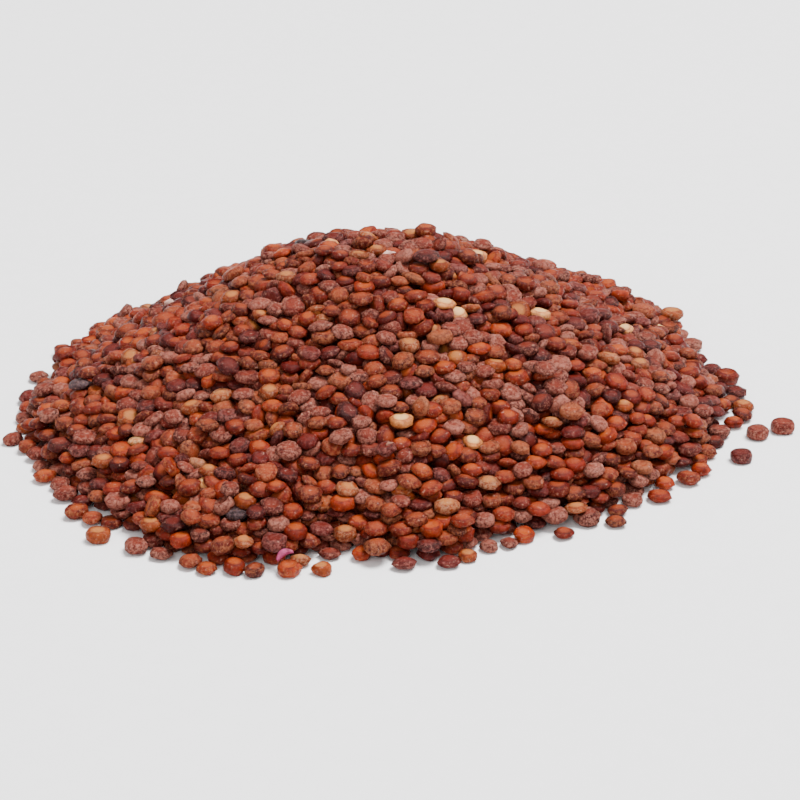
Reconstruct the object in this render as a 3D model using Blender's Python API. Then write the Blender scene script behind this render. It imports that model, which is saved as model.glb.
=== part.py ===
"""A heap of raw red quinoa on a flat surface, with a few seeds that rolled clear of its foot.

Metres, +Z up. The surface that the heap lies on is z = 0, and the origin is the middle of the
whole group's footprint. The heap is a rounded cone at the seeds' angle of repose. Its skin has one
low bump for each seed, and true seeds are fused to the foot and to the slopes.
"""

import math
import random

import bmesh
import bpy
from mathutils import Euler, Matrix, Vector
from mathutils.geometry import delaunay_2d_cdt

MM = 0.001

# One seed: a blunt-rimmed disc with nearly flat faces
SEED_DIAMETER = 2.1 * MM
SEED_THICKNESS = 1.05 * MM
SEED_RIM_SHARE = 0.52
SEED_SPREAD = 0.09

# The heap
HEAP_RADIUS = 32.4 * MM
HEAP_HEIGHT = 16.3 * MM
PEAK_ROUNDING = 0.20
FOOT_HEIGHT = 1.0 * MM
# Where the foot runs out or falls short of a circle: bearing and half width in degrees, distance
FOOT_LOBES = (
    (0, 9, 1.8 * MM),
    (36, 16, 2.7 * MM),
    (60, 14, 0.8 * MM),
    (105, 12, 0.7 * MM),
    (136, 12, -1.0 * MM),
    (150, 9, 0.8 * MM),
    (183, 9, 0.8 * MM),
    (208, 20, 0.9 * MM),
    (240, 10, 2.7 * MM),
    (255, 6, 1.2 * MM),
    (264, 5, -2.8 * MM),
    (296, 18, -2.4 * MM),
    (318, 12, -1.2 * MM),
)
# Hollows and swells of the slopes: place and half width as shares of the radius, height
SLOPE_SWELLS = (
    (0.10, 0.10, 0.22, 0.45 * MM),
    (0.46, 0.30, 0.22, 0.90 * MM),
    (-0.70, 0.30, 0.24, -1.30 * MM),
    (0.42, -0.30, 0.24, 0.40 * MM),
    (-0.45, -0.20, 0.22, 0.40 * MM),
    (-0.15, -0.52, 0.20, -0.40 * MM),
)

# The heap's skin of bumps
BUMP_PITCH = 2.35 * MM
BUMP_GAP = 1.94 * MM
MOST_MISSES = 400
BUMP_RISE = 0.85 * MM
BUMP_UNEVENNESS = 0.24 * MM
VALLEY_DEPTH = 0.62 * MM
EDGE_BUMP_INSET = 2.1 * MM
OUTLINE_INSET = 0.6 * MM
EDGE_JITTER = 0.45 * MM
BURIED_DEPTH = 0.5 * MM

# True seeds fused to the heap
FUSED_SIDES = 7
FOOT_SEED_PITCH = 2.35 * MM
FOOT_SEED_WANDER = 1.3 * MM
FOOT_SEED_SINK = 0.06 * MM
FOOT_SEED_TILT = 11
SLOPE_SEED_COUNT = 44
SLOPE_SEED_GAP = 2.9 * MM
SLOPE_SEED_RISE = 0.30 * MM
SLOPE_SEED_TILT = 38

# Seeds that lie apart: distance from the heap's middle along X and Y, and diameter
STRAY_SEEDS = {
    "stray_seed_right_near": (34.2 * MM, -6.1 * MM, 2.05 * MM),
    "stray_seed_right_far": (36.6 * MM, -4.8 * MM, 2.15 * MM),
    "stray_seed_right_front": (32.2 * MM, -10.9 * MM, 2.00 * MM),
    "stray_seed_left_front": (-23.0 * MM, -25.8 * MM, 2.15 * MM),
    "stray_seed_front": (-4.3 * MM, -31.5 * MM, 1.75 * MM),
}
STRAY_SIDES = 14
STRAY_GAP = 0.4 * MM

SEED_COLOUR = (0.36, 0.125, 0.065, 1.0)
SEED_ROUGHNESS = 0.5


def bearing_gap(first, second):
    """The angle between two bearings, in degrees."""
    return abs((first - second + 180) % 360 - 180)


def foot_radius(bearing):
    """How far the heap's foot reaches at a bearing in radians."""
    degrees = math.degrees(bearing)
    reach = HEAP_RADIUS
    for middle, half_width, distance in FOOT_LOBES:
        reach += distance * math.exp(-((bearing_gap(degrees, middle) / half_width) ** 2))
    return reach


def slope_swell(x, y):
    """The height that the hollows and swells add at a place on the slopes."""
    rise = 0.0
    for at_x, at_y, half_width, height in SLOPE_SWELLS:
        away = math.hypot(x / HEAP_RADIUS - at_x, y / HEAP_RADIUS - at_y)
        rise += height * math.exp(-((away / half_width) ** 2))
    return rise


def heap_top(x, y):
    """The height of the heap's skin: a cone with a rounded peak, down to the foot."""
    away = math.hypot(x, y)
    near_foot = min(away / HEAP_RADIUS, 1.0) ** 3
    lobe = foot_radius(math.atan2(y, x)) - HEAP_RADIUS
    share = min(away / (HEAP_RADIUS + near_foot * lobe), 1.0)
    peak = math.sqrt(1 + PEAK_ROUNDING**2) - PEAK_ROUNDING
    fall = math.sqrt(share**2 + PEAK_ROUNDING**2) - PEAK_ROUNDING
    cone = (HEAP_HEIGHT - FOOT_HEIGHT) * (1 - fall / peak)
    fade = min(1.0, 4 * (1 - share))
    return FOOT_HEIGHT + cone + fade * slope_swell(x, y)


def skin_normal(x, y):
    """The direction that the heap's skin faces."""
    step = 0.5 * MM
    run_x = (heap_top(x + step, y) - heap_top(x - step, y)) / (2 * step)
    run_y = (heap_top(x, y + step) - heap_top(x, y - step)) / (2 * step)
    return Vector((-run_x, -run_y, 1)).normalized()


def new_object(name, bm, material):
    """An object that holds the mesh, with its faces pointing outwards."""
    bmesh.ops.recalc_face_normals(bm, faces=bm.faces)
    mesh = bpy.data.meshes.new(name)
    bm.to_mesh(mesh)
    bm.free()
    mesh.materials.append(material)
    obj = bpy.data.objects.new(name, mesh)
    bpy.context.scene.collection.objects.link(obj)
    return obj


def seed_material(name, colour, roughness):
    """The seeds' coat: a satin red-brown hull."""
    material = bpy.data.materials.new(name)
    material.use_nodes = True
    shader = material.node_tree.nodes["Principled BSDF"]
    shader.inputs["Base Color"].default_value = colour
    shader.inputs["Roughness"].default_value = roughness
    shader.inputs["Metallic"].default_value = 0.0
    return material


def foot_ring(inset, pitch, turn, draw):
    """Places side by side along the foot's line, a little inside it and unevenly so."""
    count = round(math.tau * HEAP_RADIUS / pitch)
    ring = []
    for number in range(count):
        bearing = math.tau * (number + turn) / count
        reach = foot_radius(bearing) - inset + draw.uniform(-1, 1) * EDGE_JITTER
        ring.append(Vector((reach * math.cos(bearing), reach * math.sin(bearing))))
    return ring


def bump_sites(draw):
    """The middles of the bumps: a ring along the foot, and within it places that keep apart."""
    sites = foot_ring(EDGE_BUMP_INSET, BUMP_PITCH, 0, draw)
    misses = 0
    while misses < MOST_MISSES:
        bearing = draw.uniform(0, math.tau)
        reach = (foot_radius(bearing) - EDGE_BUMP_INSET - BUMP_GAP) * math.sqrt(draw.random())
        at = Vector((reach * math.cos(bearing), reach * math.sin(bearing)))
        if any((at - other).length < BUMP_GAP for other in sites):
            misses += 1
        else:
            misses = 0
            sites.append(at)
    return sites


def skin_cells(bm, sites, draw):
    """A face round each bump's middle. Its corners lie between that bump and two neighbours."""
    beyond = foot_ring(OUTLINE_INSET, BUMP_PITCH, 0.5, draw)
    found = delaunay_2d_cdt(sites + beyond, [], [], 0, 1e-9)
    places, triangles = found[0], found[2]
    touching = {number: [] for number in range(len(places))}
    for triangle in triangles:
        corner = bm.verts.new(sum((places[n] for n in triangle), Vector((0, 0))).to_3d() / 3)
        for number in triangle:
            touching[number].append(corner)
    faces = []
    for number, place in enumerate(places[: len(sites)]):
        ring = sorted(
            touching[number],
            key=lambda corner: math.atan2(corner.co.y - place.y, corner.co.x - place.x),
        )
        faces.append(bm.faces.new(ring))
    loose = [v for v in bm.verts if not v.link_faces]
    bmesh.ops.delete(bm, geom=loose, context="VERTS")
    return faces


def heap_core(draw):
    """The closed body of the heap with its skin of bumps, a little deeper than the surface."""
    bm = bmesh.new()
    faces = skin_cells(bm, bump_sites(draw), draw)
    for vertex in bm.verts:
        vertex.co.z = heap_top(vertex.co.x, vertex.co.y) - VALLEY_DEPTH
    bm.normal_update()
    poked = bmesh.ops.poke(bm, faces=faces, offset=BUMP_RISE, center_mode="MEAN")
    for top in poked["verts"]:
        top.co.z += draw.uniform(-1, 1) * BUMP_UNEVENNESS
    edge = [e for e in bm.edges if e.is_boundary]
    wall = bmesh.ops.extrude_edge_only(bm, edges=edge)["geom"]
    for vertex in [g for g in wall if isinstance(g, bmesh.types.BMVert)]:
        vertex.co.z = -BURIED_DEPTH
    bottom = [e for e in bm.edges if e.is_boundary]
    bmesh.ops.holes_fill(bm, edges=bottom, sides=0)
    return bm


def seed_placing(place, normal, tilt, draw):
    """Where a seed lies: flat on the skin that faces along normal, then tipped and spun at random."""
    lean = normal.to_track_quat("Z", "Y").to_matrix().to_4x4()
    tip = Euler((math.radians(draw.gauss(0, tilt)), math.radians(draw.gauss(0, tilt)), 0))
    spin = Matrix.Rotation(draw.uniform(0, math.tau), 4, "Z")
    return Matrix.Translation(place) @ lean @ tip.to_matrix().to_4x4() @ spin


def plain_seed(placing, draw):
    """One seed with few sides: a drum whose faces rise a little to their middles."""
    size = 1 + draw.uniform(-1, 1) * SEED_SPREAD
    length = SEED_DIAMETER * size
    width = length * draw.uniform(0.88, 1.0)
    thickness = SEED_THICKNESS * size
    bm = bmesh.new()
    bmesh.ops.create_cone(
        bm,
        cap_ends=True,
        cap_tris=True,
        segments=FUSED_SIDES,
        radius1=0.5,
        radius2=0.5,
        depth=SEED_RIM_SHARE,
    )
    for vertex in bm.verts:
        if vertex.co.xy.length < 0.1:
            vertex.co.z = math.copysign(0.5, vertex.co.z)
    bmesh.ops.scale(bm, vec=(length, width, thickness), verts=bm.verts)
    bmesh.ops.transform(bm, matrix=placing, verts=bm.verts)
    return bm


def clear_of_strays(place):
    """Whether a seed at this place leaves a gap to every seed that lies apart."""
    nearest = min((place.xy - Vector(stray[:2])).length for stray in STRAY_SEEDS.values())
    return nearest > SEED_DIAMETER * (1 + SEED_SPREAD) + STRAY_GAP


def foot_seeds(draw):
    """The places of the seeds that lie round the foot, one seed deep."""
    places = []
    bearing = 0.0
    while bearing < math.tau - 0.5 * FOOT_SEED_PITCH / HEAP_RADIUS:
        inward = draw.uniform(-0.2, 1) * FOOT_SEED_WANDER
        reach = foot_radius(bearing) - SEED_DIAMETER / 2 - inward
        place = Vector((reach * math.cos(bearing), reach * math.sin(bearing), 0))
        place.z = SEED_THICKNESS / 2 - FOOT_SEED_SINK
        if clear_of_strays(place):
            places.append(seed_placing(place, Vector((0, 0, 1)), FOOT_SEED_TILT / 2, draw))
        bearing += FOOT_SEED_PITCH * draw.uniform(0.80, 1.20) / reach
    return places


def slope_seeds(draw):
    """The places of the seeds that stand proud of the slopes, spread evenly and kept apart."""
    middles = []
    places = []
    while len(middles) < SLOPE_SEED_COUNT:
        bearing = draw.uniform(0, math.tau)
        reach = (foot_radius(bearing) - 2 * SEED_DIAMETER) * math.sqrt(draw.random())
        at = Vector((reach * math.cos(bearing), reach * math.sin(bearing), 0))
        if any((at - other).length < SLOPE_SEED_GAP for other in middles):
            continue
        middles.append(at)
        place = Vector((at.x, at.y, heap_top(at.x, at.y) + SLOPE_SEED_RISE))
        places.append(seed_placing(place, skin_normal(at.x, at.y), SLOPE_SEED_TILT / 2, draw))
    return places


def fuse(body, parts):
    """Joins the parts to the body and removes them."""
    group = bpy.data.collections.new("fused_seeds")
    bpy.context.scene.collection.children.link(group)
    for part in parts:
        bpy.context.scene.collection.objects.unlink(part)
        group.objects.link(part)
    union = body.modifiers.new("union", "BOOLEAN")
    union.operation = "UNION"
    union.operand_type = "COLLECTION"
    union.collection = group
    union.solver = "EXACT"
    graph = bpy.context.evaluated_depsgraph_get()
    joined = bpy.data.meshes.new_from_object(body.evaluated_get(graph))
    body.modifiers.remove(union)
    body.data = joined
    for part in parts:
        bpy.data.objects.remove(part)
    bpy.data.collections.remove(group)


def drop_scraps(bm):
    """Keeps the largest of the mesh's separate pieces."""
    left = set(bm.verts)
    pieces = []
    while left:
        piece = set()
        reached = [left.pop()]
        while reached:
            vertex = reached.pop()
            piece.add(vertex)
            beside = {e.other_vert(vertex) for e in vertex.link_edges} & left
            left -= beside
            reached.extend(beside)
        pieces.append(piece)
    pieces.sort(key=len)
    for piece in pieces[:-1]:
        bmesh.ops.delete(bm, geom=list(piece), context="VERTS")


def flatten_underside(body):
    """Cuts the body off at the surface that it lies on, closes the cut and drops loose scraps."""
    bm = bmesh.new()
    bm.from_mesh(body.data)
    everything = bm.verts[:] + bm.edges[:] + bm.faces[:]
    cut = bmesh.ops.bisect_plane(
        bm,
        geom=everything,
        dist=1e-7,
        plane_co=(0, 0, 0),
        plane_no=(0, 0, 1),
        clear_inner=True,
    )
    rim = [g for g in cut["geom_cut"] if isinstance(g, bmesh.types.BMEdge)]
    bmesh.ops.holes_fill(bm, edges=rim, sides=0)
    drop_scraps(bm)
    bmesh.ops.recalc_face_normals(bm, faces=bm.faces)
    bm.to_mesh(body.data)
    bm.free()


def build_heap(material, draw):
    """The heap: its core with the seeds fused on, standing flat on the surface."""
    heap = new_object("quinoa_heap", heap_core(draw), material)
    placings = foot_seeds(draw) + slope_seeds(draw)
    seeds = [
        new_object(f"fused_seed_{number}", plain_seed(placing, draw), material)
        for number, placing in enumerate(placings)
    ]
    fuse(heap, seeds)
    flatten_underside(heap)
    return heap


def stray_profile(radius, thickness):
    """Half of a seed's section, from the middle of its dished top to the flat that it lies on."""
    return (
        (0.00 * radius, 0.90 * thickness),
        (0.42 * radius, 0.93 * thickness),
        (0.74 * radius, 1.00 * thickness),
        (0.95 * radius, 0.78 * thickness),
        (1.00 * radius, 0.48 * thickness),
        (0.90 * radius, 0.16 * thickness),
        (0.62 * radius, 0.00 * thickness),
        (0.00 * radius, 0.00 * thickness),
    )


def build_stray(name, x, y, diameter, material):
    """A seed that lies by itself: its section turned once round."""
    thickness = SEED_THICKNESS * diameter / SEED_DIAMETER
    bm = bmesh.new()
    line = [bm.verts.new((r, 0, z)) for r, z in stray_profile(diameter / 2, thickness)]
    edges = [bm.edges.new(pair) for pair in zip(line, line[1:])]
    bmesh.ops.spin(
        bm,
        geom=line + edges,
        axis=(0, 0, 1),
        cent=(0, 0, 0),
        angle=math.tau,
        steps=STRAY_SIDES,
        use_merge=True,
    )
    bmesh.ops.remove_doubles(bm, verts=bm.verts, dist=0.001 * MM)
    seed = new_object(name, bm, material)
    seed.location = (x, y, 0)
    return seed


def centre_on_origin(objects):
    """Moves the whole group so that the middle of its footprint is the origin."""
    bpy.context.view_layer.update()
    corners = [obj.matrix_world @ Vector(c) for obj in objects for c in obj.bound_box]
    middle_x = (min(c.x for c in corners) + max(c.x for c in corners)) / 2
    middle_y = (min(c.y for c in corners) + max(c.y for c in corners)) / 2
    for obj in objects:
        obj.location.x -= middle_x
        obj.location.y -= middle_y


def main():
    for obj in list(bpy.data.objects):
        bpy.data.objects.remove(obj)
    draw = random.Random(7)
    heap_coat = seed_material("quinoa_heap", SEED_COLOUR, SEED_ROUGHNESS)
    stray_coat = seed_material("stray_seeds", SEED_COLOUR, SEED_ROUGHNESS)
    group = [build_heap(heap_coat, draw)]
    for name, (x, y, diameter) in STRAY_SEEDS.items():
        group.append(build_stray(name, x, y, diameter, stray_coat))
    centre_on_origin(group)


main()
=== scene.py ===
"""The looks of a poured heap of raw red quinoa.

The frame's heap gives the form. Its place is taken by a core of packed seeds in their own shade,
with two to three layers of true seeds dropped on it one by one, and by a few flakes of husk.
Lengths are in metres and angles in degrees unless a name or a note says otherwise.
"""

import math
import random
from dataclasses import dataclass

import bmesh
import bpy
import numpy as np
from mathutils import Matrix, Vector, noise
from mathutils.bvhtree import BVHTree


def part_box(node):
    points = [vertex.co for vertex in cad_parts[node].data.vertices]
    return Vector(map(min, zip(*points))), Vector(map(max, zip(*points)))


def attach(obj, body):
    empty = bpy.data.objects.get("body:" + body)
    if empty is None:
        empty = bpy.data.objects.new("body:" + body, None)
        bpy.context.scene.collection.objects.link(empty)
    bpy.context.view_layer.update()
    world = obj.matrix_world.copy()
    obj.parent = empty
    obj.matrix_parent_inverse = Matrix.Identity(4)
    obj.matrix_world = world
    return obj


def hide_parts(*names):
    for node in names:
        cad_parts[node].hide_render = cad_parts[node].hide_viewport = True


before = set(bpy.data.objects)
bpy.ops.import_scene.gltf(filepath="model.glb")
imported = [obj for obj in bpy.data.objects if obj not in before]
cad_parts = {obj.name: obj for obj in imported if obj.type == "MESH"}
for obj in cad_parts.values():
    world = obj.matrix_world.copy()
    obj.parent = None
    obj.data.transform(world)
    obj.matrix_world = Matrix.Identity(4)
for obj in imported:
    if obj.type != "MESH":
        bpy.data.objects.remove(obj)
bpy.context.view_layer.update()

MM = 0.001
IMAGE_SIZE = 800

# The camera, as fitted to the photograph
CAMERA_ELEVATION = 25
CAMERA_DISTANCE = 240 * MM
CAMERA_TARGET = Vector((-0.33, -6.98, 4.16)) * MM
FOCAL_LENGTH_PIXELS = 2700
SENSOR_WIDTH_MM = 36

# Seeds
SEED_DIAMETER = 2.05 * MM
SEED_DIAMETER_SPREAD = 0.16 * MM
SEED_DIAMETER_LIMITS = (1.6 * MM, 2.5 * MM)
SEED_WIDTH_SHARE = (0.84, 1.0)
SEED_THICKNESS_SHARE = (0.40, 0.56)
SEED_SIDES = 12
STRAY_SIDES = 36

# Packing the seeds over the core
MAP_CELL = 0.14 * MM
MAP_MARGIN = 3 * MM
CAD_SAMPLE = 0.35 * MM
LEAST_CAD_HEIGHT = 0.05 * MM
SKIN_BLUR = 1.7 * MM
SKIN_RISE = 0.35 * MM
SLOPE_BLUR = 6 * MAP_CELL
FOOT_SHELF = 0.9 * MM
FOOT_STEEPNESS = 0.8
RIM_INSET = 0.02 * MM
FOOT_ROW = 1.2 * MM
UPPER_INSET = 1.15 * MM
ON_FLOOR_SLACK = 1.1
OUTWARD_PULL = 0.4
LONE_SEED_CLEARANCE = 2.2 * MM
PLACES_TRIED = 64
TURNS_TRIED = 6
SHIFTS_TRIED = 8
FLOOR_SHIFTS_TRIED = 40
LARGEST_SHIFT = 0.7 * MM
CONTACT_SHARE = 0.93
BURIED_CONTACT_SHARE = 0.78
BURIED_HOLLOW = 1.2 * MM
BURIED_FROM_OUTLINE = 2.6 * MM
LEAST_HOLLOW = 0.30 * MM
MOST_PROUD = 0.20 * MM
LOOSE_ON_TOP = 110
LOOSE_PROUD = 1.3 * MM
MOST_MISSES = 40
GIVEN_UP_CELLS = 2
ONE_LAYER = 1.3 * MM
SLOPE_FOLLOWED = 0.05
SEED_TILT = 17
FREE_TILT = (30, 85)
FREE_TILT_SHARE = 0.26
FLOOR_TILT = 3

# Own core
CORE_DEPTH = 2.4 * MM
CORE_INSET = 3.4 * MM
CORE_MARGIN = 2 * MM
CORE_PITCH = 0.6 * MM
CORE_RIM_PITCH = 0.96 * MM
CORE_BUMP_PITCH = 2.2 * MM
CORE_BUMP_RISE = 0.8 * MM
LEAST_CORE_HEIGHT = 0.1 * MM

# Husk
FLAKE_THICKNESS = 0.06 * MM
FLAKE_COUNT = 9
FLAKE_LENGTH = (0.7 * MM, 1.0 * MM)
FLAKE_WIDTH_SHARE = 0.6
FLAKE_LIFT = 0.15 * MM
OPEN_HUSK_SIZE = (1.4 * MM, 0.9 * MM)
MAGENTA_HUSK_SIZE = (1.5 * MM, 0.6 * MM)
HUSK_CLEARANCE = 0.6 * MM

# How the view through a pixel is followed
SEED_IN_VIEW = 0.7 * MM
VIEW_START = 0.75 * CAMERA_DISTANCE
VIEW_END = 1.25 * CAMERA_DISTANCE
VIEW_STEP = 0.05 * MM

# Staging
FLOOR_RADIUS = 3.0

# Seeds and flakes of a colour of their own, as pixels of the photograph, with each flake's spin
IVORY_PIXELS = (
    (438, 304), (455, 308), (540, 309), (659, 324), (626, 330), (144, 439),
    (200, 482), (339, 457), (402, 413), (476, 443), (334, 241), (476, 251),
)
BLACK_PIXELS = ((75, 387), (302, 238), (580, 445), (233, 512))
TAN_PIXELS = ((297, 564), (373, 232), (434, 264), (188, 402))
PALE_FLAKE_PIXELS = {(387, 252): 25, (172, 300): -10}
MAGENTA_FLAKE_PIXEL = (283, 552)


def linear(hex_colour):
    """An sRGB hex colour as linear red, green and blue, and an alpha of one."""
    parts = [int(hex_colour[at:at + 2], 16) / 255 for at in (1, 3, 5)]
    return (*[p / 12.92 if p <= 0.04045 else ((p + 0.055) / 1.055) ** 2.4 for p in parts], 1.0)


# Materials

# A mix node's sockets share their names, so its colour sockets are known by number
MIX_FACTOR, MIX_FIRST, MIX_SECOND, MIX_RESULT = 0, 6, 7, 2

# The pale inner side of the hull's skin
TORN_SKIN = "#BC8A78"


def add_node(tree, kind, links=None, values=None, stops=None, **settings):
    """Adds a node, sets its properties, input values and colour stops, and links its inputs."""
    node = tree.nodes.new(kind)
    for name, value in settings.items():
        setattr(node, name, value)
    for name, value in (values or {}).items():
        node.inputs[name].default_value = value
    for name, source in (links or {}).items():
        tree.links.new(source, node.inputs[name])
    if stops:
        for position, _ in stops[2:]:
            node.color_ramp.elements.new(position)
        for element, (position, colour) in zip(node.color_ramp.elements, stops):
            element.position = position
            element.color = colour
    return node


def new_material(name):
    """A material with an empty tree, and its shader."""
    material = bpy.data.materials.new(name)
    material.use_nodes = True
    tree = material.node_tree
    tree.nodes.clear()
    shader = add_node(tree, "ShaderNodeBsdfPrincipled")
    add_node(tree, "ShaderNodeOutputMaterial", {"Surface": shader.outputs["BSDF"]})
    return material, tree, shader


def seed_hull(name, tones, face, dust, dust_cover, roughness, dust_roughness):
    """A seed's hull. tones run over the seeds by their own number, face is the paler colour of the
    middle of the two faces, partly the starch showing through and partly painted light, and dust is
    the dried bitter coat left in patches."""
    material, tree, shader = new_material(name)
    place = add_node(tree, "ShaderNodeAttribute", attribute_name="hull_place_mm").outputs["Vector"]
    # Clouds about 0.7 mm across
    clouds = add_node(
        tree,
        "ShaderNodeTexNoise",
        {"Vector": place},
        {"Scale": 1.5, "Detail": 4.0, "Roughness": 0.68},
    ).outputs["Fac"]
    from_middle = uneven_distance_from_middle(tree, clouds)
    skin = with_groove_shade_and_pale_lit_face(tree, clouded_hull(tree, tones, clouds), face, from_middle)
    cover = dust_on_skin(tree, place, from_middle, dust_cover)
    dusted = add_node(
        tree,
        "ShaderNodeMix",
        {MIX_FACTOR: cover, MIX_FIRST: skin},
        {MIX_SECOND: linear(dust)},
        data_type="RGBA",
    ).outputs[MIX_RESULT]
    tree.links.new(with_torn_flecks(tree, place, dusted), shader.inputs["Base Color"])

    rough = add_node(
        tree,
        "ShaderNodeMapRange",
        {"Value": cover},
        {"From Min": 0.0, "From Max": 1.0, "To Min": roughness, "To Max": dust_roughness},
    ).outputs["Result"]
    tree.links.new(rough, shader.inputs["Roughness"])
    tree.links.new(wrinkled_normal(tree, place, cover), shader.inputs["Normal"])
    shader.inputs["IOR"].default_value = 1.45
    shader.inputs["Specular IOR Level"].default_value = 0.15

    # The starch under the hull is a little clear, to red light most
    shader.inputs["Subsurface Weight"].default_value = 0.15
    shader.inputs["Subsurface Radius"].default_value = (1.0, 0.3, 0.15)
    shader.inputs["Subsurface Scale"].default_value = 0.35 * MM
    return material


def uneven_distance_from_middle(tree, clouds):
    """How far a point lies from the middle of the seed's face, shifted to and fro by the clouds."""
    on_seed = add_node(tree, "ShaderNodeAttribute", attribute_name="on_seed").outputs["Vector"]
    flat = add_node(
        tree,
        "ShaderNodeVectorMath",
        {0: on_seed},
        {1: (1.0, 1.0, 0.0)},
        operation="MULTIPLY",
    ).outputs["Vector"]
    away = add_node(tree, "ShaderNodeVectorMath", {0: flat}, operation="LENGTH").outputs["Value"]
    return add_node(
        tree,
        "ShaderNodeMath",
        {0: clouds, 2: away},
        {1: 0.45},
        operation="MULTIPLY_ADD",
    ).outputs[0]


def clouded_hull(tree, tones, clouds):
    """The hull's own colour by the seed's tone, darker and lighter in clouds."""
    tone = add_node(tree, "ShaderNodeAttribute", attribute_name="tone").outputs["Fac"]
    hull = add_node(
        tree,
        "ShaderNodeValToRGB",
        {"Fac": tone},
        stops=[(n / (len(tones) - 1), linear(t)) for n, t in enumerate(tones)],
    ).outputs["Color"]
    shade = add_node(
        tree,
        "ShaderNodeValToRGB",
        {"Fac": clouds},
        stops=[(0.32, (0.48, 0.29, 0.26, 1)), (0.64, (1.28, 1.24, 1.24, 1))],
    ).outputs["Color"]
    return add_node(
        tree,
        "ShaderNodeMix",
        {MIX_FIRST: hull, MIX_SECOND: shade},
        {MIX_FACTOR: 1.0},
        data_type="RGBA",
        blend_type="MULTIPLY",
    ).outputs[MIX_RESULT]


def with_groove_shade_and_pale_lit_face(tree, hull, face, from_middle):
    """The skin without its dust: the hull, a dark groove round the face as painted shade, a darker
    rim, and the paler face.
    """
    # Painted shade: dark in the groove round the face, and darker at the rim, which is partly the
    # hull's own darker band and partly painted shade from the neighbouring seeds
    groove_shade_and_dark_rim = add_node(
        tree,
        "ShaderNodeValToRGB",
        {"Fac": from_middle},
        stops=[
            (0.0, (1.0, 1.0, 1.0, 1)),
            (0.76, (1.0, 1.0, 1.0, 1)),
            (0.88, (0.58, 0.33, 0.30, 1)),
            (1.0, (0.86, 0.68, 0.65, 1)),
        ],
    ).outputs["Color"]
    grooved = add_node(
        tree,
        "ShaderNodeMix",
        {MIX_FIRST: hull, MIX_SECOND: groove_shade_and_dark_rim},
        {MIX_FACTOR: 1.0},
        data_type="RGBA",
        blend_type="MULTIPLY",
    ).outputs[MIX_RESULT]
    # The face is paler partly by the starch under the thin hull and partly by painted light on the
    # broad faces
    face_paleness_and_light = add_node(
        tree,
        "ShaderNodeMapRange",
        {"Value": from_middle},
        {"From Min": 0.90, "From Max": 0.56, "To Min": 0.0, "To Max": 0.7},
    ).outputs["Result"]
    return add_node(
        tree,
        "ShaderNodeMix",
        {MIX_FACTOR: face_paleness_and_light, MIX_FIRST: grooved},
        {MIX_SECOND: linear(face)},
        data_type="RGBA",
    ).outputs[MIX_RESULT]


def dust_on_skin(tree, place, from_middle, dust_cover):
    """How far the dust hides the skin at each point, up to dust_cover. A seed's own dustiness
    says how much of it is dusty."""
    # Specks about 0.3 mm across
    specks = add_node(
        tree,
        "ShaderNodeTexNoise",
        {"Vector": place},
        {"Scale": 3.2, "Detail": 6.0, "Roughness": 0.88},
    ).outputs["Fac"]
    patches = dust_patches(tree, specks, from_middle, dust_cover)
    plates = dust_plates(tree, place, specks)
    return add_node(
        tree,
        "ShaderNodeMath",
        {0: patches, 1: plates},
        operation="MULTIPLY",
    ).outputs[0]


def dust_patches(tree, specks, from_middle, dust_cover):
    """The dust in patches of specks, more of them at the rim and on a dusty seed."""
    rim = add_node(
        tree,
        "ShaderNodeMath",
        {0: from_middle, 2: specks},
        {1: 0.10},
        operation="MULTIPLY_ADD",
    ).outputs[0]
    dustiness = add_node(tree, "ShaderNodeAttribute", attribute_name="dustiness").outputs["Fac"]
    raised = add_node(tree, "ShaderNodeMath", {0: rim, 1: dustiness}, operation="ADD").outputs[0]
    return add_node(
        tree,
        "ShaderNodeMapRange",
        {"Value": raised},
        {"From Min": 0.97, "From Max": 1.07, "To Min": 0.0, "To Max": dust_cover},
    ).outputs["Result"]


def dust_plates(tree, place, specks):
    """Plates about 0.45 mm across, with ragged cracks between them where the dust is thin."""
    crackle = add_node(
        tree,
        "ShaderNodeTexVoronoi",
        {"Vector": place},
        {"Scale": 2.2},
        feature="DISTANCE_TO_EDGE",
    ).outputs["Distance"]
    ragged = add_node(
        tree,
        "ShaderNodeMath",
        {0: specks, 2: crackle},
        {1: 0.4},
        operation="MULTIPLY_ADD",
    ).outputs[0]
    return add_node(
        tree,
        "ShaderNodeMapRange",
        {"Value": ragged},
        {"From Min": 0.20, "From Max": 0.32, "To Min": 0.4, "To Max": 1.0},
    ).outputs["Result"]


def with_torn_flecks(tree, place, colour):
    """The colour with pale flecks of torn skin over it, about 0.2 mm across."""
    torn = add_node(
        tree,
        "ShaderNodeTexNoise",
        {"Vector": place},
        {"Scale": 3.4, "Detail": 3.0, "Roughness": 0.7},
    ).outputs["Fac"]
    flecks = add_node(
        tree,
        "ShaderNodeMapRange",
        {"Value": torn},
        {"From Min": 0.61, "From Max": 0.70, "To Min": 0.0, "To Max": 0.5},
    ).outputs["Result"]
    return add_node(
        tree,
        "ShaderNodeMix",
        {MIX_FACTOR: flecks, MIX_FIRST: colour},
        {MIX_SECOND: linear(TORN_SKIN)},
        data_type="RGBA",
    ).outputs[MIX_RESULT]


def wrinkled_normal(tree, place, cover):
    """The skin's relief: wrinkles about 0.2 mm apart, drawn coarser than the real ones so that
    they show, with the dust standing a little proud."""
    wrinkles = add_node(
        tree,
        "ShaderNodeTexNoise",
        {"Vector": place},
        {"Scale": 4.5, "Detail": 4.0, "Roughness": 0.7},
    ).outputs["Fac"]
    relief = add_node(
        tree,
        "ShaderNodeMath",
        {0: cover, 2: wrinkles},
        {1: 0.2},
        operation="MULTIPLY_ADD",
    ).outputs[0]
    return add_node(
        tree,
        "ShaderNodeBump",
        {"Height": relief},
        {"Strength": 0.85, "Distance": 0.13 * MM},
    ).outputs["Normal"]


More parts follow.
